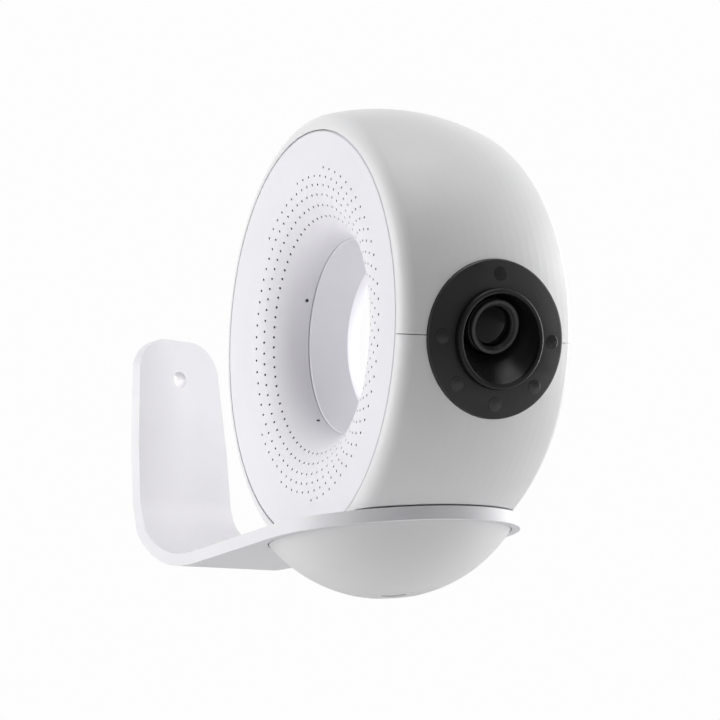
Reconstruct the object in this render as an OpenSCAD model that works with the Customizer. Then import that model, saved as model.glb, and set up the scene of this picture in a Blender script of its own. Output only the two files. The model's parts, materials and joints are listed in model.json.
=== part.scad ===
// Baby monitor camera: a ring-shaped camera head that pans on a round base,
// which drops into the ring of a wall bracket. Millimetres, +Z up. The lens side
// faces -Y and the wall is at +Y. The origin is the centre of the screw hole in
// the bracket's wall face.

/* [Head] */
// Radius of the ball that the head is cut from
head_r = 58; // [56:0.5:64]
// Distance of each side plate's face from the middle of the head
side_half = 19.5; // [18.5:0.1:20]
// How far each side plate toes out towards the lens, in degrees
side_toe = 5.2; // [0:0.1:6]
// Radius of the seam round each side plate
plate_seam_r = 51.4; // [50:0.1:52]
// Wall of the rim shells
shell_wall = 2.2; // [1.8:0.1:2.6]
// Wall of the side plates and the tunnel
plate_wall = 2; // [1.6:0.1:2.2]
// How far down the lens looks, in degrees
head_pitch = 12.3; // [0:0.1:15]
// Pan angle away from straight ahead, in degrees
pan_rest = 14.4; // [-20:0.1:20]
// Height of the flat underside below the middle of the head
head_flat = 47.7; // [47.6:0.1:48]

/* [Tunnel] */
// Radius of the tunnel at its narrowest
throat_r = 24.5; // [22:0.1:25]
// Radius at which a side plate starts to curve into the tunnel
flare_r = 42; // [40:0.1:43]
// Depth of that curve
flare_depth = 14; // [12:0.1:15]
// Distance of each tunnel seam from the middle of the head
throat_seam = 8; // [6.5:0.1:9]
// Radius of the microphone pinholes
pinhole_r = 0.5; // [0.3:0.1:0.8]

/* [Lens] */
// Radius of the black window
window_r = 18.85; // [18:0.05:19.5]
// Distance of the window's edge from the middle of the head
window_edge = 55.7; // [55.5:0.1:56]
// Radius of the funnel's rim
funnel_r = 11.9; // [11.5:0.05:12.5]
// Radius of the lens barrel
barrel_r = 6.6; // [6:0.05:6.8]
// Height of the barrel's front above the window's middle
barrel_rise = 2.8; // [2:0.1:3]
// How far down the barrel points from the window, in degrees
barrel_dip = 12; // [6:0.5:13]
// Radius of each infrared lamp
lamp_r = 1.5; // [1:0.1:1.7]

/* [Base] */
// Radius of the bowl where it leaves the bracket ring
bowl_mouth_r = 30.3; // [30:0.1:31]
// Radius of the ball that the bowl is cut from
bowl_ball_r = 38; // [37:0.1:39]
// Wall of the bowl
bowl_wall = 2.2; // [1.8:0.1:2.4]
// Radius of the flat under the bowl
foot_r = 7; // [6:0.1:8]
// Radius of the hollow pan axle
axle_r = 6; // [5.5:0.1:6.2]
// Teeth of the pan gear on the axle
gear_teeth = 45; // [43:2:45]
// Teeth of the pan pinion
pinion_teeth = 15; // [13:2:15]
// Gear module
gear_module = 0.5; // [0.45:0.01:0.5]
// Travel of the pairing button
button_travel = 0.6; // [0.4:0.1:0.7]

/* [Bracket] */
// Thickness of the bracket
bracket_t = 3.2; // [2.6:0.1:3.4]
// Outer radius of the bracket ring
ring_r = 32.7; // [32.5:0.1:35]
// Distance of the wall from the middle of the head
wall_gap = 80; // [74:0.5:95]
// Height of the screw hole above the middle of the head
hole_rise = 3; // [0:0.5:6]
// Radius of the screw hole
hole_r = 2.25; // [1.6:0.05:2.6]
// Half width of the upright plate
tongue_half = 15.8; // [14:0.1:17]
// Height of the plate's top above the middle of the head
tongue_top = 14; // [11:0.5:20]
// Corner radius at the plate's top
tongue_corner = 10; // [6:0.5:12]
// Outer radius of the bend
bend_r = 21; // [16:0.5:26]

/* [Hidden] */

white = "white";
board_green = "darkgreen";
slip = 0.25;      // clearance round a piece that is set into another
running = 0.05;   // radial clearance of a shaft in its bore
seam = 0.1;       // half the gap along a seam
far = 120;        // longer than any piece is wide
board_t = 1.2;
smooth = 120;

// Bracket ring, bowl flange and deck, as heights from the middle of the head
ring_gap = 0.4;
ring_top = -head_flat - ring_gap;
ring_bottom = ring_top - bracket_t;
flange_t = 1.2;
flange_top = ring_top - 0.3;
flange_r = bowl_mouth_r + 0.9;
rebate_floor = flange_top - flange_t;
ball_z = ring_bottom + sqrt(pow(bowl_ball_r, 2) - pow(bowl_mouth_r, 2));
bowl_inner_r = bowl_ball_r - bowl_wall;
bowl_bore_r = sqrt(pow(bowl_inner_r, 2) - pow(ball_z - ring_bottom, 2));
foot_z = ball_z - sqrt(pow(bowl_ball_r, 2) - pow(foot_r, 2));
deck_r = bowl_mouth_r - 1.2;
deck_top = flange_top - 0.2;
deck_seat = deck_top - 2;
deck_under = deck_seat;
bush_wall = 1.6;
axle_wall = 1.5;

// Pan drive
gear_pitch_r = gear_teeth * gear_module / 2;
pinion_pitch_r = pinion_teeth * gear_module / 2;
drive_reach = gear_pitch_r + pinion_pitch_r;
gear_t = 1.8;
tooth_slack = 0.12;
pressure = 20;
motor_r = 6.8;
motor_h = 5.4;
motor_shaft_r = 1;
motor_bore = 2.5;
motor_bottom = deck_under - 0.05 - motor_h;
gear_top = motor_bottom - 0.4;
gear_bottom = gear_top - gear_t;
bush_bottom = gear_top + 0.3;

// Deck screws
screw_r = 0.8;
screw_head_r = 1.9;
screw_reach = 14.5;
screw_boss_r = 1.9;
screw_angles = [0, 180];

// Power board and inlet
power_top = -56.9;
power_half_w = 10;
power_front = 13.2;
power_back = 17;
inlet_w = 9;
inlet_h = 3.2;
inlet_front = 24.5;
inlet_back = 14;
power_post_x = 7.5;
power_post_y = 15.1;
button_r = 3;
button_flange_r = 4;
button_recess = 0.3;
bowl_floor = ball_z - bowl_inner_r;
button_seat = bowl_floor + 0.3;
button_top = button_seat + 1.2;
switch_stem = 0.8;
switch_bottom = button_top + button_travel + 0.1;
key_board_t = 0.8;
key_board_r = 8.5;
key_board_top = gear_bottom - 0.3;
key_post_reach = 7;
key_post_r = 1.2;

// Floor of the head and pan axle
floor_t = 2;
floor_top = -head_flat + floor_t;
axle_flange_r = axle_r + 8;
axle_flange_t = 2;
axle_screw_reach = axle_r + 5;
axle_screw_angles = [45, 135, 225, 315];

// Tunnel and side plates
plate_edge_r = plate_seam_r - slip;
plate_back = side_half - plate_wall;
flare_w = flare_r - throat_r;
flare_z = side_half - flare_depth;
arc_steps = 24;
ledge_r = plate_seam_r - 2.1;
ledge_top = plate_back - 0.15;
cavity_half = ledge_top - 1.45;
pinhole_z = 9.5;
pinhole_angles = [158, -121];
mic_r = 2;
mic_t = 2;

// Lens
window_back = window_edge - 2.25;
window_dome = 0.7;
window_clear = 0.1;
opening_inner_r = window_r - 1.4;
rim_front = 58;
rim_lip = 1;
funnel_back = 50.6;
funnel_flange_r = 13.5;
funnel_floor_r = 4.5;
barrel_front = 55;
barrel_len = 12;
glass_r = 5;
pivot_back = 6.8;
throat_hole_r = barrel_r + 0.7;
throat_hole_y = barrel_rise + (barrel_front - funnel_back - 0.4) * tan(barrel_dip);
lamp_reach = window_r - 3.45;
lamp_angles = [0, 90, 180, 225, 270, 315];
led_board_top = window_back - 2.05;
lamp_top = window_back - 0.15;
yoke_t = 1.25;
yoke_front = led_board_top - board_t - 0.05;
ear_inner = barrel_r + 3;
ear_outer = ear_inner + 3;
trunnion_r = 1.2;
cheek_outer = barrel_r + 2.2;
holder_front = -9.5;
holder_back = -12.2;
holder_half = 9;

// Electronics and speaker
main_board_x = 3;
board_in_r = 29;
board_out_r = 50;
post_reach = 45;
post_angles = [0, 65];
post_r = 1.8;
speaker_r = 9;
speaker_t = 4.7;
speaker_reach = 39.5;
speaker_front = 13.2;

// ---- Frames ----
module at_middle() {
    translate([0, -wall_gap, -hole_rise]) children();
}
module at_head() {
    at_middle() rotate([0, 0, -pan_rest]) children();
}
module at_eye() {
    at_head() rotate([head_pitch, 0, 0]) children();
}
// +Z runs out of the lens and +Y runs up
module along_lens() {
    rotate([90, 0, 0]) children();
}
module along_barrel() {
    along_lens() translate([0, barrel_rise, barrel_front]) rotate([barrel_dip, 0, 0]) children();
}
// +Z runs out of the side plate and +X runs up
module along_left() {
    rotate([0, 0, -side_toe]) rotate([0, -90, 0]) children();
}
module along_side(side) {
    if (side < 0) along_left() children();
    else mirror([1, 0, 0]) along_left() children();
}
// Keeps what lies above the flat underside of the head
module above_flat() {
    intersection() {
        children();
        at_head() translate([-far, -far, -head_flat]) cube(2 * far);
    }
}

// ---- Shared shapes ----
// Cuts a ball by the two side planes
module ball_slice(ball_r, half) {
    intersection() {
        rotate([0, 90, 0]) sphere(r = ball_r, $fn = smooth);
        along_side(-1) rod(far, -far, half, smooth);
        along_side(1) rod(far, -far, half, smooth);
    }
}
// Side tool whose edge rounds from the seam circle over to the ball
module rounded_side() {
    edge_r = (pow(head_r, 2) - pow(plate_seam_r, 2) - pow(side_half, 2)) / (2 * (head_r - side_half));
    edge_z = side_half - edge_r;
    last = atan(edge_z / plate_seam_r) + 9;
    run = 12;
    rotate_extrude($fn = smooth) polygon(concat([[0, -far], [far, -far]],
        [[far, edge_z + edge_r * sin(last) - run * cos(last) - far],
         [plate_seam_r + edge_r * cos(last) + run * sin(last), edge_z + edge_r * sin(last) - run * cos(last)]],
        arc(plate_seam_r, edge_z, edge_r, last, 90, 10), [[0, side_half]]));
}
module head_ball() {
    intersection() {
        rotate([0, 90, 0]) rotate_extrude($fn = smooth)
            polygon(concat([[0, -head_r / 2]], arc(0, 0, head_r, -30, 30, 24), [[0, head_r / 2]]));
        along_side(-1) rounded_side();
        along_side(1) rounded_side();
    }
}
function arc(cx, cy, r, a0, a1, n) =
    [for (i = [0:n]) [cx + r * cos(a0 + (a1 - a0) * i / n), cy + r * sin(a0 + (a1 - a0) * i / n)]];
// Radius and height of the side plate's face, from the flat at 0 to the throat at 90
function flare_point(w, d, t) = [flare_r - w * sin(t), flare_z + d * cos(t)];
function flare_end(d) = acos((throat_seam - flare_z) / d);
function flare_curve(w, d) =
    [for (i = [0:arc_steps]) flare_point(w, d, flare_end(d) * i / arc_steps)];
function reversed(list) = [for (i = [len(list) - 1:-1:0]) list[i]];
// The back of the flare at a height above the middle
function flare_back_r(h) =
    flare_r - (flare_w - plate_wall) * sin(acos((h - flare_z) / (flare_depth - plate_wall)));

// Involute gear outline
function roll(r, base_r) = sqrt(max(0, pow(r / base_r, 2) - 1));
function involute(r, base_r) = roll(r, base_r) * 180 / PI - atan(roll(r, base_r));
function polar(r, a) = [r * cos(a), r * sin(a)];
function half_tooth(r, teeth, pitch_r) =
    90 / teeth - tooth_slack / pitch_r * 90 / PI
    + involute(pitch_r, pitch_r * cos(pressure)) - involute(r, pitch_r * cos(pressure));
function flank_r(k, low, high) = low + (high - low) * k / 4;
module gear_outline(teeth) {
    pitch_r = teeth * gear_module / 2;
    tip_r = pitch_r + gear_module * 0.95;
    root_r = pitch_r - gear_module * 1.25;
    low_r = max(root_r, pitch_r * cos(pressure));
    polygon([for (i = [0:teeth - 1]) each concat(
        [polar(root_r, 360 / teeth * i - half_tooth(low_r, teeth, pitch_r))],
        [for (k = [0:4]) polar(flank_r(k, low_r, tip_r),
            360 / teeth * i - half_tooth(flank_r(k, low_r, tip_r), teeth, pitch_r))],
        [for (k = [4:-1:0]) polar(flank_r(k, low_r, tip_r),
            360 / teeth * i + half_tooth(flank_r(k, low_r, tip_r), teeth, pitch_r))],
        [polar(root_r, 360 / teeth * i + half_tooth(low_r, teeth, pitch_r))])]);
}
module tube(r_out, r_in, z0, z1, sides = smooth) {
    difference() {
        translate([0, 0, z0]) cylinder(r = r_out, h = z1 - z0, $fn = sides);
        translate([0, 0, z0 - 1]) cylinder(r = r_in, h = z1 - z0 + 2, $fn = sides);
    }
}
module rod(r, z0, z1, sides = 48) {
    translate([0, 0, z0]) cylinder(r = r, h = z1 - z0, $fn = sides);
}

// ---- Bracket ----
// Upright plate seen from the front, with an open foot below the bend
module tongue_outline() {
    foot = ring_bottom - 1;
    waist = ring_bottom + bend_r;
    side_x = tongue_half - 1.6;
    corner_x = side_x - tongue_corner;
    corner_z = tongue_top - tongue_corner;
    right = concat([[far / 2, foot], [tongue_half + 6, foot + 9]],
        arc(tongue_half + 10.5, waist - 5, 10, 235, 180, 8),
        [[tongue_half, waist + 14]],
        arc(corner_x, corner_z, tongue_corner, 0, 90, 12));
    polygon(concat(right, reversed([for (p = right) [-p[0], p[1]]])));
}
// Arm and ring seen from above, with the arm's sides tangent to the ring
module arm_outline() {
    arm_half = tongue_half + 1.4;
    arm_start = wall_gap - bend_r - 3;
    lean = acos(ring_r / norm([arm_half, arm_start])) + atan(arm_half / arm_start);
    circle(r = ring_r, $fn = smooth);
    polygon([[0, 0], polar(ring_r, 90 - lean), [arm_half, arm_start], [arm_half, wall_gap + 1],
        [-arm_half, wall_gap + 1], [-arm_half, arm_start], polar(ring_r, 90 + lean)]);
}
// Side view: plate, quarter bend and arm
module bracket_section() {
    bend_z = ring_bottom + bend_r;
    bend_y = wall_gap - bend_r;
    translate([wall_gap - bracket_t, bend_z]) square([bracket_t, tongue_top - bend_z]);
    translate([-ring_r, ring_bottom]) square([bend_y + ring_r, bracket_t]);
    intersection() {
        translate([bend_y, bend_z]) difference() {
            circle(r = bend_r, $fn = smooth);
            circle(r = bend_r - bracket_t, $fn = smooth);
        }
        translate([bend_y, bend_z - bend_r]) square(bend_r);
    }
}
// The real bracket is one piece. It is given as two nodes that meet halfway round the bend
module bracket_half(upright) {
    bend_z = ring_bottom + bend_r;
    bend_y = wall_gap - bend_r;
    side = upright ? [[bend_y + far, bend_z + far], [bend_y, bend_z + far]]
        : [[-far, bend_z - far], [-far, bend_z]];
    intersection() {
        bracket_section();
        polygon(concat([[bend_y, bend_z], [bend_y + far, bend_z - far]], side));
    }
}
module bracket_piece(upright) {
    color(white) at_middle() difference() {
        intersection() {
            rotate([90, 0, 90]) linear_extrude(height = far, center = true) bracket_half(upright);
            rotate([90, 0, 0]) linear_extrude(height = 2 * far, center = true) union() {
                tongue_outline();
                translate([-far, ring_bottom - 1]) square([2 * far, bracket_t + 1.01]);
            }
            translate([0, 0, -far]) linear_extrude(height = 2 * far) arm_outline();
        }
        rod(bowl_mouth_r + 0.3, ring_bottom - 1, ring_top + 1, smooth);
        rod(flange_r + 0.3, rebate_floor, ring_top + 1, smooth);
        translate([0, wall_gap + 1, hole_rise]) rotate([90, 0, 0])
            cylinder(r = hole_r, h = bracket_t + 2, $fn = 48);
    }
}
module wall_bracket() { bracket_piece(true); }
module bracket_ring() { bracket_piece(false); }

// ---- Base ----
module at_deck_screws() {
    for (a = screw_angles) rotate([0, 0, a]) translate([screw_reach, 0, 0]) children();
}
module base_bowl() {
    color(white) at_middle() difference() {
        union() {
            difference() {
                union() {
                    intersection() {
                        translate([0, 0, ball_z]) sphere(r = bowl_ball_r, $fn = smooth);
                        rod(far, foot_z, ring_bottom, smooth);
                    }
                    rod(bowl_mouth_r, ring_bottom, rebate_floor, smooth);
                    rod(flange_r, rebate_floor, flange_top, smooth);
                }
                intersection() {
                    translate([0, 0, ball_z]) sphere(r = bowl_inner_r, $fn = smooth);
                    rod(far, -far, ring_bottom, smooth);
                }
                rod(bowl_bore_r, ring_bottom - 0.01, ring_top, smooth);
                rod(deck_r + 0.2, deck_seat, ring_top, smooth);
            }
            intersection() {
                translate([0, 0, ball_z]) sphere(r = bowl_ball_r - 1, $fn = smooth);
                union() {
                    at_deck_screws() rod(screw_boss_r, -far, deck_under - 0.05);
                    for (x = [-power_post_x, power_post_x])
                        translate([x, power_post_y, 0]) rod(1.5, -far, power_top - board_t);
                    for (x = [-key_post_reach, key_post_reach])
                        translate([x, 0, 0]) rod(key_post_r, -far, key_board_top - key_board_t);
                }
            }
        }
        at_deck_screws() rod(screw_r, deck_under - 6, 0);
        rod(button_r + 0.3, -far, bowl_floor + 1);
        translate([-inlet_w / 2 - 0.4, inlet_back, power_top - 0.3])
            cube([inlet_w + 0.8, far, inlet_h + 0.6]);
    }
}
module base_deck() {
    color(white) at_middle() difference() {
        union() {
            rod(deck_r, deck_seat, deck_top, smooth);
            rod(axle_r + bush_wall, bush_bottom, deck_top, smooth);
        }
        rod(axle_r + running, bush_bottom - 1, 0, smooth);
        at_deck_screws() {
            rod(screw_r + 0.1, deck_seat - 1, 0);
            translate([0, 0, deck_top - 1.1])
                cylinder(r1 = screw_r + 0.1, r2 = screw_head_r + 0.1, h = 1.11, $fn = 48);
        }
    }
}
module deck_screws() {
    color("silver") at_middle() at_deck_screws() difference() {
        union() {
            rod(screw_r - 0.02, deck_under - 5, deck_top - 1);
            translate([0, 0, deck_top - 1.1])
                cylinder(r1 = screw_r, r2 = screw_head_r, h = 1, $fn = 48);
        }
        driver_slot(deck_top - 0.1, 0.5, 1.2);
    }
}
// Cross recess that opens at height z
module driver_slot(z, depth, half) {
    translate([-half, -0.2, z - depth]) cube([2 * half, 0.4, depth + 1]);
    translate([-0.2, -half, z - depth]) cube([0.4, 2 * half, depth + 1]);
}
module power_board() {
    color(board_green) at_middle() translate([-power_half_w, power_front, power_top - board_t])
        cube([2 * power_half_w, power_back - power_front, board_t]);
}
module usb_port() {
    length = inlet_front - inlet_back;
    color("silver") at_middle() translate([0, inlet_back, power_top]) {
        difference() {
            translate([-inlet_w / 2, 0, 0]) cube([inlet_w, length, inlet_h]);
            translate([-inlet_w / 2 + 0.4, 1, 0.4]) cube([inlet_w - 0.8, length, inlet_h - 0.8]);
        }
        translate([-3.2, 0.5, inlet_h / 2 - 0.35]) cube([6.4, length - 1, 0.7]);
    }
}
module key_board() {
    color(board_green) at_middle() rod(key_board_r, key_board_top - key_board_t, key_board_top, smooth);
}
module button_switch() {
    body_bottom = switch_bottom + switch_stem;
    color("dimgray") at_middle() {
        translate([-3, -3, body_bottom]) cube([6, 6, key_board_top - key_board_t - body_bottom]);
        rod(1.6, switch_bottom, body_bottom);
    }
}
module pair_button() {
    color("gainsboro") at_middle() {
        rod(button_r, foot_z + button_recess, button_top);
        rod(button_flange_r, button_seat, button_seat + 0.8);
    }
}

// ---- Pan drive ----
module at_axle_screws() {
    for (a = axle_screw_angles) rotate([0, 0, a]) translate([axle_screw_reach, 0, 0]) children();
}
// Hollow axle, screwed to the head's floor
module pan_axle() {
    color(white) at_head() difference() {
        union() {
            rod(axle_flange_r, floor_top, floor_top + axle_flange_t, smooth);
            rod(axle_r, gear_bottom, floor_top + 1, smooth);
        }
        rod(axle_r - axle_wall, gear_bottom - 1, 0, smooth);
        at_axle_screws() rod(screw_r + 0.1, floor_top - 0.1, 0);
    }
}
// Gear that the pinion turns, fast on the axle's foot
module pan_gear() {
    color("ivory") at_middle() translate([0, 0, gear_bottom]) difference() {
        rotate([0, 0, -90]) linear_extrude(height = gear_t) gear_outline(gear_teeth);
        rod(axle_r + 0.01, -1, gear_t + 1, smooth);
    }
}
module axle_screws() {
    top = floor_top + axle_flange_t;
    color("silver") at_head() at_axle_screws() difference() {
        union() {
            rod(screw_r - 0.02, -head_flat + 0.5, top + 0.5);
            rod(screw_head_r, top, top + 1.2);
        }
        driver_slot(top + 1.2, 0.6, 1.2);
    }
}
module pan_motor() {
    color("silver") at_middle() translate([0, -drive_reach, 0]) difference() {
        rod(motor_r, motor_bottom, motor_bottom + motor_h, smooth);
        rod(motor_shaft_r + running, motor_bottom - 1, motor_bottom + motor_bore);
    }
}
module pan_pinion() {
    color("ivory") at_middle() translate([0, -drive_reach, 0]) {
        translate([0, 0, gear_bottom]) rotate([0, 0, -90])
            linear_extrude(height = gear_t) gear_outline(pinion_teeth);
        rod(motor_shaft_r, gear_bottom, motor_bottom + motor_bore - 0.2);
    }
}

// ---- Head shells ----
// Whole rim: both shells before they are parted
module rim() {
    at_eye() difference() {
        union() {
            difference() {
                head_ball();
                ball_slice(head_r - shell_wall, cavity_half);
            }
            intersection() {
                ball_slice(head_r - 1, side_half - 1);
                along_lens() tube(window_r + 1.8, opening_inner_r, window_back - 1.8, window_back);
            }
        }
        for (side = [-1, 1]) along_side(side) {
            rod(plate_seam_r, ledge_top, far, smooth);
            rod(ledge_r, cavity_half - 1, far, smooth);
        }
        along_lens() {
            rod(window_r + window_clear, window_back - 0.05, far, smooth);
            rod(opening_inner_r, 30, far, smooth);
        }
    }
}
module rim_half(up) {
    intersection() {
        rim();
        at_eye() translate([-far, -far, up > 0 ? seam : -2 * far - seam]) cube(2 * far);
    }
}
module rim_shell_upper() {
    color(white) rim_half(1);
}
// The lower shell carries the head's floor
module rim_shell_lower() {
    color(white) above_flat() {
        rim_half(-1);
        difference() {
            intersection() {
                at_eye() ball_slice(head_r - shell_wall / 2, cavity_half);
                at_head() translate([-far, -far, -head_flat]) cube([2 * far, 2 * far, floor_t]);
            }
            at_head() {
                rod(axle_r + 0.1, -far, 0, smooth);
                at_axle_screws() rod(screw_r, -head_flat + 0.4, 0);
            }
        }
    }
}
// Side plate: flat ring, flare and throat in one shell
module side_plate(side) {
    face = flare_curve(flare_w, flare_depth);
    back = flare_curve(flare_w - plate_wall, flare_depth - plate_wall);
    along_side(side) rotate_extrude($fn = smooth)
        polygon(concat([[plate_edge_r, plate_back], [plate_edge_r, side_half]], face, reversed(back)));
}
// Places a piece on the throat wall, +Z pointing away from the tunnel
module at_pinholes() {
    for (a = pinhole_angles)
        along_left() rotate([0, 0, a - 90]) translate([0, 0, pinhole_z])
            rotate([0, 90, 0]) children();
}
module side_plate_left() {
    color(white) above_flat() at_eye() difference() {
        union() {
            side_plate(-1);
            intersection() {
                along_left() translate([speaker_reach, 0, 0])
                    tube(speaker_r + 1, speaker_r + 0.2, speaker_front - 1.5, side_half - 0.5);
                along_left() rotate_extrude($fn = smooth) polygon(concat(
                    [[ledge_r - 0.3, 0], [ledge_r - 0.3, plate_back + 0.5]],
                    flare_curve(flare_w - plate_wall / 2, flare_depth - plate_wall / 2), [[flare_r, 0]]));
            }
        }
        at_pinholes() rod(pinhole_r, throat_r - 2, throat_r + 6, 24);
    }
}
module side_plate_right() {
    color(white) above_flat() at_eye() {
        side_plate(1);
        intersection() {
            along_side(1) rod(ledge_r - 0.3, 0, plate_back + 0.5, smooth);
            for (a = post_angles)
                rotate([a, 0, 0]) translate([main_board_x + board_t, post_reach, 0])
                    rotate([0, 90, 0]) rod(post_r, 0, far / 2);
        }
    }
}
module tunnel_sleeve() {
    color(white) at_eye() intersection() {
        rotate([0, 90, 0]) tube(throat_r + plate_wall, throat_r + 0.1, -far / 4, far / 4);
        along_side(-1) translate([0, 0, throat_seam - 2 * seam - far]) rod(far / 2, 0, far, smooth);
        along_side(1) translate([0, 0, throat_seam - 2 * seam - far]) rod(far / 2, 0, far, smooth);
    }
}

// ---- Lens ----
module lens_window() {
    color("black") at_eye() along_lens() rotate_extrude($fn = smooth)
        polygon([[funnel_r + 0.1, window_back], [window_r, window_back], [window_r, window_edge - 0.4],
            [window_r - 0.4, window_edge], [funnel_r + 0.1, window_edge + window_dome]]);
}
module lens_funnel() {
    color("black") at_eye() along_lens() difference() {
        union() {
            rod(funnel_r, funnel_back, rim_front - 0.4, smooth);
            translate([0, 0, rim_front - 0.4])
                cylinder(r1 = funnel_r, r2 = funnel_r - 0.4, h = 0.4, $fn = smooth);
            rod(funnel_flange_r, window_back - 1, window_back - 0.05, smooth);
        }
        translate([0, 0, funnel_back + 0.4])
            cylinder(r1 = funnel_floor_r, r2 = funnel_r - rim_lip + 0.2, h = rim_front - funnel_back, $fn = smooth);
        translate([0, throat_hole_y, 0]) rod(throat_hole_r, funnel_back - 1, rim_front + 1, smooth);
    }
}
module at_lamps(angles) {
    for (a = angles) rotate([0, 0, a]) translate([lamp_reach, 0, 0]) children();
}
module ir_led_board() {
    color(board_green) at_eye() along_lens()
        tube(opening_inner_r - 0.2, funnel_r + 0.4, led_board_top - board_t, led_board_top);
}
module ir_leds() {
    color("gray") at_eye() along_lens() at_lamps(lamp_angles) {
        rod(lamp_r, led_board_top, lamp_top - 0.5, 32);
        translate([0, 0, lamp_top - 0.5]) cylinder(r1 = lamp_r, r2 = lamp_r - 0.6, h = 0.5, $fn = 32);
    }
}
module light_sensor() {
    color("dimgray") at_eye() along_lens() at_lamps([135])
        translate([-1.2, -1.2, led_board_top]) cube([2.4, 2.4, 1.1]);
}
module status_led() {
    color("white") at_eye() along_lens() at_lamps([45])
        translate([-0.8, -0.8, led_board_top]) cube([1.6, 1.6, 0.9]);
}
// Height of the tilt pivot above the window's middle, and its distance outwards
pivot_y = barrel_rise + pivot_back * sin(barrel_dip);
pivot_z = barrel_front - pivot_back * cos(barrel_dip);
module lens_yoke() {
    color("dimgray") at_eye() along_lens() difference() {
        union() {
            tube(opening_inner_r - 0.6, funnel_r + 0.4, yoke_front - yoke_t, yoke_front);
            for (x = [-1, 1])
                translate([x * (ear_inner + ear_outer) / 2, pivot_y, (pivot_z - 3 + yoke_front) / 2])
                    cube([ear_outer - ear_inner, 6, yoke_front - pivot_z + 3], center = true);
        }
        translate([-far / 2, pivot_y, pivot_z]) rotate([0, 90, 0])
            cylinder(r = trunnion_r + running, h = far, $fn = 48);
    }
}
module lens_barrel() {
    color("black") at_eye() along_barrel() difference() {
        rod(barrel_r, -barrel_len, 0, smooth);
        rod(glass_r, -2, 1, smooth);
        translate([0, 0, -0.8]) cylinder(r1 = glass_r, r2 = glass_r + 0.9, h = 0.81, $fn = smooth);
    }
}
module lens_front_glass() {
    dome_r = 9;
    color("darkslategray") at_eye() along_barrel() intersection() {
        rod(glass_r - 0.02, -2, 0, smooth);
        translate([0, 0, -0.6 - dome_r]) sphere(r = dome_r, $fn = smooth);
    }
}
module lens_holder() {
    color("dimgray") at_eye() along_barrel() difference() {
        union() {
            translate([-holder_half, -holder_half, holder_back])
                cube([2 * holder_half, 2 * holder_half, holder_front - holder_back]);
            for (x = [-1, 1])
                translate([x * (cheek_outer - 0.6) - 0.6, -2.4, holder_front - 0.1])
                    cube([1.2, 4.8, -pivot_back - holder_front + 1.4]);
            translate([-ear_outer, 0, -pivot_back]) rotate([0, 90, 0])
                rod(trunnion_r, 0, 2 * ear_outer);
        }
        rod(barrel_r + 0.05, holder_back - 1, 0, smooth);
    }
}
module sensor_board() {
    color(board_green) at_eye() along_barrel()
        translate([-holder_half, -holder_half, holder_back - board_t])
            cube([2 * holder_half, 2 * holder_half, board_t]);
}

// ---- Electronics in the head ----
module main_board() {
    color(board_green) at_eye() intersection() {
        rotate([0, 90, 0]) tube(board_out_r, board_in_r, main_board_x, main_board_x + board_t);
        rotate([90, 0, 90]) linear_extrude(height = far / 2)
            polygon([[0, 0], polar(far, -14), polar(far, 30), polar(far, 80)]);
    }
}
module shield_can() {
    color("silver") at_eye() rotate([25, 0, 0])
        translate([main_board_x - 2.4, 32, -8]) cube([2.4, 14, 16]);
}
module wifi_module() {
    color("goldenrod") at_eye() rotate([60, 0, 0])
        translate([main_board_x - 1.6, 33, -6]) cube([1.6, 14, 12]);
}
module speaker() {
    color("dimgray") at_eye() along_left() translate([speaker_reach, 0, 0]) difference() {
        union() {
            rod(speaker_r, speaker_front - 2, speaker_front, smooth);
            rod(speaker_r - 2.5, speaker_front - speaker_t, speaker_front - 1, smooth);
        }
        translate([0, 0, speaker_front - 1.2])
            cylinder(r1 = speaker_r - 5, r2 = speaker_r - 1.2, h = 1.21, $fn = smooth);
    }
}
module microphones() {
    seat = flare_back_r(pinhole_z + mic_r) + 0.05;
    color("gold") at_eye() at_pinholes() rod(mic_r, seat, seat + mic_t, 32);
}

wall_bracket();
bracket_ring();
base_bowl();
base_deck();
pan_gear();
deck_screws();
power_board();
usb_port();
key_board();
button_switch();
pair_button();
pan_axle();
axle_screws();
pan_motor();
pan_pinion();
rim_shell_upper();
rim_shell_lower();
side_plate_left();
side_plate_right();
tunnel_sleeve();
lens_window();
lens_funnel();
ir_led_board();
ir_leds();
light_sensor();
status_led();
lens_yoke();
lens_barrel();
lens_front_glass();
lens_holder();
sensor_board();
main_board();
shield_can();
wifi_module();
speaker();
microphones();
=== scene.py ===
# Baby monitor camera: finishes, lens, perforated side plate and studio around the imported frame.
import json
import math

import bmesh
import bpy
from mathutils import Matrix, Vector


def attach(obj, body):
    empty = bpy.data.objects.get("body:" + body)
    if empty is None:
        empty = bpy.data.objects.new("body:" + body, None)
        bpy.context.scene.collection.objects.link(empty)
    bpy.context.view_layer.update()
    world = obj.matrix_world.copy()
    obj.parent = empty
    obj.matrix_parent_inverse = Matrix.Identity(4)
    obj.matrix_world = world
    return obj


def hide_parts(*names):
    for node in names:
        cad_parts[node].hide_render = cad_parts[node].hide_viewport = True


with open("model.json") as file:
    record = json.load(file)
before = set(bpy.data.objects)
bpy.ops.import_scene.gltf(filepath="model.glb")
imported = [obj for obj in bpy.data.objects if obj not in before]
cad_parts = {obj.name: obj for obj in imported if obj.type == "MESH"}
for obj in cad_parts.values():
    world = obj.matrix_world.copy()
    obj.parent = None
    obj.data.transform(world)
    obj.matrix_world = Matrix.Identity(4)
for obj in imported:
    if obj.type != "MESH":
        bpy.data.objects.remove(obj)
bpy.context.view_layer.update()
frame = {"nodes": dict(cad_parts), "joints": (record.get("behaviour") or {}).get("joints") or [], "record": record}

MM = 0.001
MERGE_DISTANCE = 1e-7
SHARP_ANGLE = 32
NODES = frame["nodes"]
RECORD = frame["record"]

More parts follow.
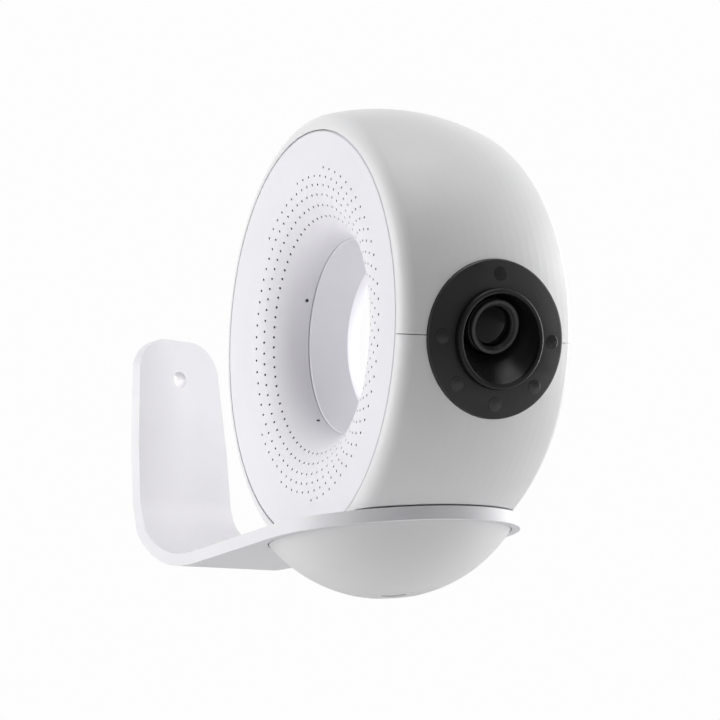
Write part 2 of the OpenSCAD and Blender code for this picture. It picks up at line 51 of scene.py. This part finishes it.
# ---- Sizes that follow the CAD model, in millimetres and degrees ----
HEAD_PITCH = 12.3
SIDE_TOE = 5.2
SIDE_HALF = 19.5
PLATE_EDGE_R = 51.15
PLATE_WALL = 2.0
THROAT_R = 24.5
FLARE_R = 42.0
FLARE_DEPTH = 14.0
THROAT_SEAM = 8.0
HEAD_FLAT = 47.7
WINDOW_R = 18.85
WINDOW_EDGE = 55.7
WINDOW_BACK = 53.45
WINDOW_DOME = 0.7
WINDOW_ROUND = 0.45
WINDOW_GAP = 0.1
FUNNEL_R = 11.9
FUNNEL_BACK = 50.6
RIM_FRONT = 58.0
LAMP_REACH = 15.4
LAMP_ANGLES = (0, 90, 180, 225, 270, 315)
FUNNEL_BOW = 0.315
THROAT_GAP = 0.85
BARREL_R = 6.6
BARREL_RISE = 2.8
BARREL_FRONT = 55.0
BARREL_DIP = 12.0
BARREL_LEN = 12.0
GLASS_R = 5.0
GLASS_GAP = 0.05
GLASS_RISE = 1.0
GLASS_SINK = 1.7
GLASS_THICK = 0.6

# The middle of the head is the middle of the stated opening, and the tilt axis gives the pan
opening = RECORD["physics"]["openings"][0]["box_m"]
MIDDLE = (Vector(opening[0]) + Vector(opening[1])) / 2
tilt_axis = Vector(next(j["axis"] for j in frame["joints"] if j["name"] == "lens_tilt"))
PAN = math.atan2(-tilt_axis.y, tilt_axis.x)
HEAD = Matrix.Translation(MIDDLE) @ Matrix.Rotation(-PAN, 4, "Z")
EYE = HEAD @ Matrix.Rotation(math.radians(HEAD_PITCH), 4, "X")
# +Z out of the lens and +Y up
LENS = EYE @ Matrix.Rotation(math.radians(90), 4, "X")
BARREL = (LENS @ Matrix.Translation(Vector((0, BARREL_RISE, BARREL_FRONT)) * MM)
          @ Matrix.Rotation(math.radians(BARREL_DIP), 4, "X"))
# +Z out of the left plate and +X up
LEFT = (EYE @ Matrix.Rotation(math.radians(-SIDE_TOE), 4, "Z")
        @ Matrix.Rotation(math.radians(-90), 4, "Y"))


# ---- Materials ----
def principled(name, color, roughness):
    """A new material with its node tree and its shader."""
    mat = bpy.data.materials.new(name)
    mat.use_nodes = True
    shader = mat.node_tree.nodes["Principled BSDF"]
    shader.inputs["Base Color"].default_value = (*color, 1)
    shader.inputs["Roughness"].default_value = roughness
    return mat, mat.node_tree, shader


def noise(tree, scale, detail):
    """Noise in the object's own space."""
    coords = tree.nodes.new("ShaderNodeTexCoord")
    tex = tree.nodes.new("ShaderNodeTexNoise")
    tex.inputs["Scale"].default_value = scale
    tex.inputs["Detail"].default_value = detail
    tree.links.new(coords.outputs["Object"], tex.inputs["Vector"])
    return tex


def ramp(tree, source, low, high, at=(0.35, 0.65)):
    """Turns a value into a colour between low and high."""
    node = tree.nodes.new("ShaderNodeValToRGB")
    node.color_ramp.elements[0].position = at[0]
    node.color_ramp.elements[1].position = at[1]
    node.color_ramp.elements[0].color = low
    node.color_ramp.elements[1].color = high
    tree.links.new(source, node.inputs["Fac"])
    return node


def grey(value):
    """A grey as a colour with alpha."""
    return (value, value, value, 1)


def add_bump(tree, shader, tex, distance, strength=0.5):
    """Fine relief, in metres."""
    bump = tree.nodes.new("ShaderNodeBump")
    bump.inputs["Distance"].default_value = distance
    bump.inputs["Strength"].default_value = strength
    tree.links.new(tex.outputs["Fac"], bump.inputs["Height"])
    tree.links.new(bump.outputs["Normal"], shader.inputs["Normal"])


def moulded(name, color, roughness=0.42, spread=0.012, grain=2600, bump=0.00002):
    """Satin moulded plastic: faint uneven tone, uneven sheen and a fine spark texture."""
    mat, tree, shader = principled(name, color, roughness)
    shader.inputs["IOR"].default_value = 1.48
    tone = noise(tree, 35, 4)
    low = tuple(max(0, c - spread) for c in color) + (1,)
    high = tuple(min(1, c + spread) for c in color) + (1,)
    tint = ramp(tree, tone.outputs["Fac"], low, high)
    tree.links.new(tint.outputs["Color"], shader.inputs["Base Color"])
    gloss = ramp(tree, noise(tree, 90, 2).outputs["Fac"], grey(roughness - 0.04), grey(roughness + 0.05))
    tree.links.new(gloss.outputs["Color"], shader.inputs["Roughness"])
    add_bump(tree, shader, noise(tree, grain, 2), bump, 0.4)
    return mat


def glossy(name, color, roughness, coat, specular=0.5):
    """Smooth black plastic or glass with an uneven sheen."""
    mat, tree, shader = principled(name, color, roughness)
    shader.inputs["Specular IOR Level"].default_value = specular
    shader.inputs["Coat Weight"].default_value = coat
    shader.inputs["Coat Roughness"].default_value = 0.05
    smear = ramp(tree, noise(tree, 60, 3).outputs["Fac"], grey(roughness * 0.7), grey(roughness * 1.5))
    tree.links.new(smear.outputs["Color"], shader.inputs["Roughness"])
    return mat


def metal(name, color, roughness):
    """Bare metal with an uneven sheen."""
    mat, tree, shader = principled(name, color, roughness)
    shader.inputs["Metallic"].default_value = 1.0
    smear = ramp(tree, noise(tree, 150, 3).outputs["Fac"], grey(roughness * 0.8), grey(roughness * 1.3))
    tree.links.new(smear.outputs["Color"], shader.inputs["Roughness"])
    return mat


def glass(name, color, roughness):
    """Clear resin or glass."""
    mat, tree, shader = principled(name, color, roughness)
    shader.inputs["Transmission Weight"].default_value = 1.0
    shader.inputs["IOR"].default_value = 1.5
    smear = ramp(tree, noise(tree, 40, 2).outputs["Fac"], grey(roughness), grey(roughness + 0.03))
    tree.links.new(smear.outputs["Color"], shader.inputs["Roughness"])
    return mat


def circuit(name):
    """Green board with a pattern like tracks."""
    mat, tree, shader = principled(name, (0.02, 0.16, 0.07), 0.35)
    tracks = noise(tree, 900, 1)
    tint = ramp(tree, tracks.outputs["Fac"], (0.015, 0.12, 0.05, 1), (0.05, 0.26, 0.11, 1), (0.48, 0.52))
    tree.links.new(tint.outputs["Color"], shader.inputs["Base Color"])
    add_bump(tree, shader, tracks, 0.00004)
    return mat


MATERIALS = {
    "white_body": moulded("white_body", (0.80, 0.80, 0.81)),
    "white_plate": moulded("white_plate", (0.83, 0.82, 0.86), 0.46),
    "white_bracket": moulded("white_bracket", (0.82, 0.81, 0.84), 0.44),
    "black_gloss": glossy("black_gloss", (0.012, 0.012, 0.012), 0.42, 0.1),
    "black_funnel": glossy("black_funnel", (0.010, 0.010, 0.010), 0.30, 0.0, 0.35),
    "black_barrel": moulded("black_barrel", (0.045, 0.045, 0.045), 0.34, 0.004),
    "lens_glass": glossy("lens_glass", (0.004, 0.004, 0.005), 0.06, 0.0, 0.2),
    "lamp_resin": glass("lamp_resin", (0.7, 0.7, 0.72), 0.05),
    "dark_plastic": moulded("dark_plastic", (0.045, 0.045, 0.05), 0.5, 0.01),
    "gear_plastic": moulded("gear_plastic", (0.78, 0.76, 0.68), 0.4),
    "board_green": circuit("board_green"),
    "motor_metal": metal("motor_metal", (0.55, 0.55, 0.57), 0.35),
    "steel": metal("steel", (0.62, 0.62, 0.64), 0.28),
    "brass_can": metal("brass_can", (0.70, 0.55, 0.25), 0.3),
}
# grey for the walls and bottom of the side plate's holes: painted shade inside the holes, darker than the white
# plastic they are cut in
HOLE_PAINTED_SHADE = moulded("hole_painted_shade", (0.30, 0.30, 0.31), 0.7)
LAMP_MARK = glossy("lamp_mark", (0.014, 0.014, 0.015), 0.14, 0.3)

for part in RECORD["subparts"]:
    node = NODES[part["node"]]
    node.data.materials.clear()
    node.data.materials.append(MATERIALS[part["material_slot"]])


# ---- Mesh helpers ----
def place(name, bm, at, materials, body, nodes=()):
    """Makes a piece of a mesh in the frame `at`, on a body, in place of any CAD nodes named."""
    bmesh.ops.remove_doubles(bm, verts=bm.verts, dist=MERGE_DISTANCE)
    bmesh.ops.recalc_face_normals(bm, faces=bm.faces)
    mesh = bpy.data.meshes.new(name)
    bm.to_mesh(mesh)
    bm.free()
    mesh.transform(at)
    obj = bpy.data.objects.new(name, mesh)
    bpy.context.scene.collection.objects.link(obj)
    for mat in materials:
        mesh.materials.append(mat)
    for poly in mesh.polygons:
        poly.use_smooth = True
    obj.data.set_sharp_from_angle(angle=math.radians(SHARP_ANGLE))
    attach(obj, body)
    if nodes:
        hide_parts(*nodes)


def revolve(bm, profile, steps, closed=True):
    """Turns a profile of (radius, height) in mm about Z. A radius of 0 is one vertex."""
    rings = []
    for r, z in profile:
        rings.append(ring_of(bm, r, z, steps) if r else [bm.verts.new((0, 0, z * MM))] * steps)
    for a, b in zip(rings, rings[1:] + rings[:1] if closed else rings[1:]):
        for k in range(steps):
            n = (k + 1) % steps
            corners = list(dict.fromkeys((a[k], a[n], b[n], b[k])))
            if len(corners) > 2:
                bm.faces.new(corners)


def ring_of(bm, r, z, steps, rise=0.0):
    """A ring of vertices round Z at a radius and height in mm, moved by rise along Y."""
    turns = [math.tau * k / steps for k in range(steps)]
    return [bm.verts.new(Vector((r * math.cos(t), rise + r * math.sin(t), z)) * MM) for t in turns]


def skin(bm, pairs, steps):
    """Joins each pair of rings by a band of four-sided faces."""
    for a, b in pairs:
        for k in range(steps):
            n = (k + 1) % steps
            bm.faces.new([a[k], a[n], b[n], b[k]])


def arc(cx, cy, r, a0, a1, n):
    """Points of an arc from angle a0 to a1 in degrees."""
    return [(cx + r * math.cos(math.radians(a0 + (a1 - a0) * i / n)),
             cy + r * math.sin(math.radians(a0 + (a1 - a0) * i / n))) for i in range(n + 1)]


# ---- Left side plate with its perforation ----
FLARE_W = FLARE_R - THROAT_R
FLARE_Z = SIDE_HALF - FLARE_DEPTH
PLATE_ROUND = 0.35
HALF_CELLS = 142
# Rows of holes from the outside in: radius, and how far each runs from the lens side in degrees
ROWS = ((42.0, 84), (39.8, 109), (37.6, 139), (35.2, 180), (32.6, 180), (30.0, 180))
ROW_MARGIN = 1.1
HOLE_R = 0.33
HOLE_DEPTH = 0.9
PINHOLE_Z = 9.5
PINHOLE_ANGLES = (158, -121)
PINHOLE_R = 0.5
PINHOLE_BAND = 1.5


def flare_end(depth):
    """Angle at which a flare of this depth reaches the tunnel's seam."""
    return math.degrees(math.acos((THROAT_SEAM - FLARE_Z) / depth))


def flare(width, depth, t):
    """Point of the elliptical flare at angle t from its outer rim."""
    return (FLARE_R - width * math.sin(math.radians(t)), FLARE_Z + depth * math.cos(math.radians(t)))


def face_profile():
    """The visible face from the seam in to the throat, as (radius, height) by arc length."""
    points = [(PLATE_EDGE_R - PLATE_ROUND, SIDE_HALF)]
    # every 0.2 mm across the flat
    points += [(r / 10, SIDE_HALF) for r in range(505, 420, -2)]
    end = flare_end(FLARE_DEPTH)
    points += [flare(FLARE_W, FLARE_DEPTH, end * i / 240) for i in range(241)]
    return points


PROFILE = face_profile()
LENGTHS = [0.0]
for first, second in zip(PROFILE, PROFILE[1:]):
    LENGTHS.append(LENGTHS[-1] + math.dist(first, second))


def at_length(s):
    """Radius, height and normal of the face at arc length s."""
    s = min(max(s, 0), LENGTHS[-1])
    i = max(k for k in range(len(LENGTHS) - 1) if LENGTHS[k] <= s)
    f = (s - LENGTHS[i]) / (LENGTHS[i + 1] - LENGTHS[i])
    (r0, z0), (r1, z1) = PROFILE[i], PROFILE[i + 1]
    direction = Vector((r1 - r0, z1 - z0)).normalized()
    return r0 + (r1 - r0) * f, z0 + (z1 - z0) * f, Vector((-direction.y, direction.x))


def on_face(s, turn, sink=0.0):
    """Point of the face at arc length s and angle turn (degrees from up), sunk along the normal."""
    r, z, normal = at_length(s)
    r += normal.x * sink
    z += normal.y * sink
    return Vector((r * math.cos(math.radians(turn)), r * math.sin(math.radians(turn)), z)) * MM


def length_at(test):
    """Arc length of the first profile point that passes the test."""
    return next(LENGTHS[k] for k, point in enumerate(PROFILE) if test(point))


def side_angle(turn):
    """Angle from the lens side, up positive, of an angle from up."""
    return (turn + 90 + 180) % 360 - 180


def perforated_plate():
    """The left side plate: the face by cells, then its edge, its back and its end in the tunnel."""
    bm = bmesh.new()
    step = 360 / HALF_CELLS
    grid = {}

    def vert(s, k):
        key = (round(s, 4), k % HALF_CELLS)
        if key not in grid:
            grid[key] = bm.verts.new(on_face(s, step * (k % HALF_CELLS)))
        return grid[key]

    def plain(s0, s1, count):
        for i in range(count):
            a, b = s0 + (s1 - s0) * i / count, s0 + (s1 - s0) * (i + 1) / count
            for k in range(HALF_CELLS):
                bm.faces.new([vert(a, k), vert(a, k + 1), vert(b, k + 1), vert(b, k)])

    def cell(s0, middle, s1, k, hole_r):
        """One pair of grid cells, with a blind hole in the middle when hole_r is given."""
        rim = [vert(s0, k), vert(s0, k + 1), vert(s0, k + 2), vert(middle, k + 2),
               vert(s1, k + 2), vert(s1, k + 1), vert(s1, k), vert(middle, k)]
        if not hole_r:
            centre = vert(middle, k + 1)
            for i in range(0, 8, 2):
                bm.faces.new([rim[(i - 1) % 8], rim[i], rim[i + 1], centre])
            return
        hole, bottom = [], []
        radius = at_length(middle)[0]
        for angle in (225, 270, 315, 0, 45, 90, 135, 180):
            ds = hole_r * math.sin(math.radians(angle))
            dt = math.degrees(hole_r * math.cos(math.radians(angle)) / radius)
            hole.append(bm.verts.new(on_face(middle + ds, step * (k + 1) + dt)))
            bottom.append(bm.verts.new(on_face(middle + ds, step * (k + 1) + dt, HOLE_DEPTH)))
        for i in range(8):
            n = (i + 1) % 8
            bm.faces.new([rim[i], rim[n], hole[n], hole[i]])
            # the hole's walls and bottom take the second material, a grey that paints the shade inside the hole
            bm.faces.new([hole[i], hole[n], bottom[n], bottom[i]]).material_index = 1
        bm.faces.new(bottom).material_index = 1

    # the profile is sampled closely enough to find each row by its radius
    centres = [length_at(lambda p: p[0] <= r) for r, reach in ROWS]
    edges = [length_at(lambda p: p[0] <= ROWS[0][0] + ROW_MARGIN)]
    edges += [(a + b) / 2 for a, b in zip(centres, centres[1:])]
    edges.append(length_at(lambda p: p[0] <= ROWS[-1][0] - ROW_MARGIN))
    pin = length_at(lambda p: p[0] < FLARE_R and p[1] <= PINHOLE_Z)
    plain(0, edges[0], 3)
    for row, (r, reach) in enumerate(ROWS):
        for k in range(row % 2, HALF_CELLS, 2):
            near = abs(side_angle(step * (k + 1))) <= reach
            cell(edges[row], centres[row], edges[row + 1], k, HOLE_R if near else 0)
    plain(edges[-1], pin - PINHOLE_BAND / 2, 6)
    for k in range(0, HALF_CELLS, 2):
        away = [abs(side_angle(step * (k + 1)) - angle) for angle in PINHOLE_ANGLES]
        radius = PINHOLE_R if min(away) < step else 0
        cell(pin - PINHOLE_BAND / 2, pin, pin + PINHOLE_BAND / 2, k, radius)
    plain(pin + PINHOLE_BAND / 2, LENGTHS[-1], 2)
    # edge, back and throat end
    back = [(PLATE_EDGE_R, SIDE_HALF - PLATE_ROUND), (PLATE_EDGE_R, SIDE_HALF - PLATE_WALL)]
    end = flare_end(FLARE_DEPTH - PLATE_WALL)
    back += [flare(FLARE_W - PLATE_WALL, FLARE_DEPTH - PLATE_WALL, end * i / 24) for i in range(25)]
    rings = [[vert(0, k) for k in range(HALF_CELLS)]]
    rings += [ring_of(bm, r, z, HALF_CELLS) for r, z in back]
    rings.append([vert(LENGTHS[-1], k) for k in range(HALF_CELLS)])
    skin(bm, zip(rings, rings[1:]), HALF_CELLS)
    return bm


def cut_flat(bm, at):
    """Cuts a mesh in the frame `at` by the head's flat underside and closes the cut."""
    to_local = at.inverted()
    point = to_local @ (MIDDLE + Vector((0, 0, -HEAD_FLAT * MM)))
    normal = (to_local.to_3x3() @ Vector((0, 0, 1))).normalized()
    cut = bmesh.ops.bisect_plane(bm, geom=bm.verts[:] + bm.edges[:] + bm.faces[:], dist=MERGE_DISTANCE,
                                 plane_co=point, plane_no=normal, clear_inner=True)
    edges = [e for e in cut["geom_cut"] if isinstance(e, bmesh.types.BMEdge)]
    bmesh.ops.holes_fill(bm, edges=edges, sides=0)


bm = perforated_plate()
cut_flat(bm, LEFT)
# the second material is the grey painted shade that lines the holes
place("left_plate_perforated", bm, LEFT, [MATERIALS["white_plate"], HOLE_PAINTED_SHADE], "head",
      ["side_plate_left"])


# ---- Lens ----
WINDOW_FLAT_R = WINDOW_R - WINDOW_ROUND
WINDOW_INNER_R = FUNNEL_R + WINDOW_GAP


def window_height(r):
    """Height of the window's face at a radius."""
    inward = (WINDOW_FLAT_R - r) / (WINDOW_FLAT_R - WINDOW_INNER_R)
    return WINDOW_EDGE + WINDOW_DOME * math.sin(inward * math.pi / 2)


def window_lean(r):
    """Slope of the window's face at a radius, as an angle."""
    return math.atan(window_height(r - 0.5) - window_height(r + 0.5))


def lens_window():
    """Black window ring with a rounded outer edge and a face that rises towards the funnel."""
    bm = bmesh.new()
    shoulder = WINDOW_EDGE - WINDOW_ROUND
    profile = [(WINDOW_INNER_R, WINDOW_BACK), (WINDOW_R, WINDOW_BACK), (WINDOW_R, shoulder)]
    profile += arc(WINDOW_FLAT_R, shoulder, WINDOW_ROUND, 0, 80, 6)[1:]
    steps = 12
    for i in range(1, steps + 1):
        f = i / steps
        r = WINDOW_FLAT_R * (1 - f) + WINDOW_INNER_R * f
        profile.append((r, WINDOW_EDGE + WINDOW_DOME * math.sin(f * math.pi / 2)))
    revolve(bm, profile, 160)
    return bm


place("lens_window_ring", lens_window(), LENS, [MATERIALS["black_gloss"]], "head",
      ["lens_window"])


def lamp_marks():
    """Shallow domes of the lamps, seen as faint rings on the window."""
    bm = bmesh.new()
    lean = Matrix.Rotation(window_lean(LAMP_REACH), 4, "Y")
    outline = [(1.75, -0.3), (1.75, 0.02), (1.6, 0.06), (1.35, 0.05), (1.1, 0.09), (0.6, 0.14), (0, 0.16)]
    for angle in LAMP_ANGLES:
        spot = bmesh.new()
        revolve(spot, outline, 32, closed=False)
        turn = math.radians(angle)
        centre = Vector((LAMP_REACH * math.cos(turn), LAMP_REACH * math.sin(turn),
                         window_height(LAMP_REACH)))
        spot.transform(Matrix.Translation(centre * MM) @ Matrix.Rotation(turn, 4, "Z") @ lean)
        mesh = bpy.data.meshes.new("spot")
        spot.to_mesh(mesh)
        spot.free()
        bm.from_mesh(mesh)
        bpy.data.meshes.remove(mesh)
    return bm


place("lamp_marks", lamp_marks(), LENS, [LAMP_MARK], "head")


def lens_funnel():
    """Funnel with a rounded lip. Its wall runs from the round rim to the raised throat."""
    bm = bmesh.new()
    steps = 128
    throat_r = BARREL_R + THROAT_GAP
    throat_y = BARREL_RISE + (BARREL_FRONT - FUNNEL_BACK - 0.4) * math.tan(math.radians(BARREL_DIP))
    outer_round = 0.5
    inner_round = 0.3
    inner_r = FUNNEL_R - 0.9
    lip = [(FUNNEL_R, WINDOW_BACK, 0), (FUNNEL_R, RIM_FRONT - outer_round, 0)]
    outer = arc(FUNNEL_R - outer_round, RIM_FRONT - outer_round, outer_round, 20, 90, 5)
    inner = arc(inner_r, RIM_FRONT - inner_round, inner_round, 90, 180, 4)
    lip += [(r, z, 0) for r, z in outer + inner]
    wall_top = RIM_FRONT - 0.7
    top_r = FUNNEL_R - 1.25
    for i in range(17):
        f = i / 16
        # the wall bows out a little between the rim and the throat
        bow = FUNNEL_BOW * math.sin(math.pi * f)
        height = wall_top - (wall_top - FUNNEL_BACK - 0.6) * f
        lip.append((top_r + (throat_r - top_r) * f + bow, height, throat_y * f))
    lip += [(throat_r, FUNNEL_BACK, throat_y), (FUNNEL_R, FUNNEL_BACK, 0)]
    rings = [ring_of(bm, r, z, steps, y) for r, z, y in lip]
    skin(bm, zip(rings, rings[1:] + rings[:1]), steps)
    return bm


place("lens_funnel_cone", lens_funnel(), LENS, [MATERIALS["black_funnel"]], "head",
      ["lens_funnel"])


def lens_barrel():
    """Barrel with a rounded front edge, a stepped bore and a groove behind the front."""
    bm = bmesh.new()
    groove_r = BARREL_R - 0.25
    edge_round = 0.35
    profile = [(0, -BARREL_LEN), (BARREL_R, -BARREL_LEN), (BARREL_R, -1.6), (groove_r, -1.5),
               (groove_r, -1.2), (BARREL_R, -1.1), (BARREL_R, -edge_round)]
    profile += arc(BARREL_R - edge_round, -edge_round, edge_round, 20, 90, 4)
    # steps of the bore, from the front to the seat of the glass
    profile += [(GLASS_R + 0.75, 0), (GLASS_R + 0.6, -0.1), (GLASS_R + 0.35, -0.5), (GLASS_R + 0.3, -0.6),
                (GLASS_R, -0.9), (GLASS_R, -2), (0, -2)]
    revolve(bm, profile, 128, closed=False)
    return bm


place("lens_barrel_front", lens_barrel(), BARREL, [MATERIALS["black_barrel"]], "lens_unit",
      ["lens_barrel"])


def dome(radius, height, base, thick, steps=14):
    """Profile of a shallow dome on a disc with a flat back."""
    ball = (radius * radius + height * height) / (2 * height)
    reach = math.degrees(math.asin(radius / ball))
    rim = [(0, base - thick), (radius, base - thick)]
    return rim + [(ball * math.sin(math.radians(reach * (1 - i / steps))),
                   base + height - ball + ball * math.cos(math.radians(reach * (1 - i / steps))))
                  for i in range(steps + 1)]


bm = bmesh.new()
revolve(bm, dome(GLASS_R - GLASS_GAP, GLASS_RISE, -GLASS_SINK, GLASS_THICK), 96, closed=False)
place("lens_glass_dome", bm, BARREL, [MATERIALS["lens_glass"]], "lens_unit",
      ["lens_front_glass"])

# ---- Studio ----
FLOOR_HEIGHT = -0.30
FLOOR_HALF = 4
WORLD_GREY = 0.19
WORLD_PALE = 0.985
WORLD_FADE = (0.30, 0.90)
PANEL_DISTANCE = 1.0
# Azimuth from the head's front to its right and elevation in degrees, size in metres, power in watts
PANELS = {
    "left_panel": (-118, 12, 0.7, 7.4),
    "right_panel": (84, 8, 0.8, 9.0),
    "top_panel": (20, 72, 0.7, 4.8),
}


def studio_floor():
    """A pale floor, well under the part."""
    mesh = bpy.data.meshes.new("floor")
    bm = bmesh.new()
    bmesh.ops.create_grid(bm, x_segments=2, y_segments=2, size=FLOOR_HALF)
    bm.to_mesh(mesh)
    bm.free()
    mesh.transform(Matrix.Translation((0, MIDDLE.y, FLOOR_HEIGHT)))
    obj = bpy.data.objects.new("floor", mesh)
    bpy.context.scene.collection.objects.link(obj)
    mat, tree, shader = principled("floor_pale", (0.62, 0.62, 0.62), 0.8)
    tint = ramp(tree, noise(tree, 3, 2).outputs["Fac"], grey(0.60), grey(0.64))
    tree.links.new(tint.outputs["Color"], shader.inputs["Base Color"])
    mesh.materials.append(mat)


studio_floor()
world = bpy.data.worlds.new("studio")
bpy.context.scene.world = world
world.use_nodes = True
bpy.context.scene.view_settings.view_transform = "Standard"


def backdrop(direction):
    """A pale backdrop in one direction that falls to grey all round it."""
    tree = world.node_tree
    coords = tree.nodes.new("ShaderNodeTexCoord")
    along = tree.nodes.new("ShaderNodeVectorMath")
    along.operation = "DOT_PRODUCT"
    along.inputs[1].default_value = direction
    tree.links.new(coords.outputs["Generated"], along.inputs[0])
    fade = ramp(tree, along.outputs["Value"], grey(WORLD_GREY), grey(WORLD_PALE), WORLD_FADE)
    tree.links.new(fade.outputs["Color"], tree.nodes["Background"].inputs["Color"])
    tree.nodes["Background"].inputs["Strength"].default_value = 1.0


# ---- Camera: the photograph's view, from the left and below ----
CAM_AZIMUTH = math.radians(30.79) + PAN
CAM_ELEVATION = math.radians(-11.27)
CAM_ROLL = math.radians(-3.67)
CAM_DISTANCE = 0.6393
CAM_FOCAL = 125.65
# How far the middle of the head lies right of and above the middle of the picture, in metres
CAM_OFFSET = (0.004239, 0.005640)
SENSOR = 36.0

forward = Vector((math.sin(CAM_AZIMUTH) * math.cos(CAM_ELEVATION),
                  math.cos(CAM_AZIMUTH) * math.cos(CAM_ELEVATION), -math.sin(CAM_ELEVATION)))
level = Vector((math.cos(CAM_AZIMUTH), -math.sin(CAM_AZIMUTH), 0))
upright = level.cross(forward)
right = math.cos(CAM_ROLL) * level + math.sin(CAM_ROLL) * upright
up = -math.sin(CAM_ROLL) * level + math.cos(CAM_ROLL) * upright
eye_point = MIDDLE - forward * CAM_DISTANCE - right * CAM_OFFSET[0] - up * CAM_OFFSET[1]

camera_data = bpy.data.cameras.new("camera")
camera_data.sensor_width = SENSOR
camera_data.lens = CAM_FOCAL
camera_data.clip_start = 0.01
camera = bpy.data.objects.new("camera", camera_data)
camera.matrix_world = Matrix.Translation(eye_point) @ Matrix((right, up, -forward)).transposed().to_4x4()
bpy.context.scene.collection.objects.link(camera)
bpy.context.scene.camera = camera


def area_light(name, azimuth, elevation, size, power):
    """A soft panel that faces the middle of the head."""
    a, e = math.radians(azimuth), math.radians(elevation)
    away = HEAD.to_3x3() @ Vector((math.sin(a) * math.cos(e), -math.cos(a) * math.cos(e), math.sin(e)))
    data = bpy.data.lights.new(name, "AREA")
    data.size = size
    data.energy = power
    light = bpy.data.objects.new(name, data)
    light.location = MIDDLE + away * PANEL_DISTANCE
    light.rotation_euler = (-away).to_track_quat("-Z", "Y").to_euler()
    bpy.context.scene.collection.objects.link(light)


backdrop(forward)
for panel, values in PANELS.items():
    area_light(panel, *values)
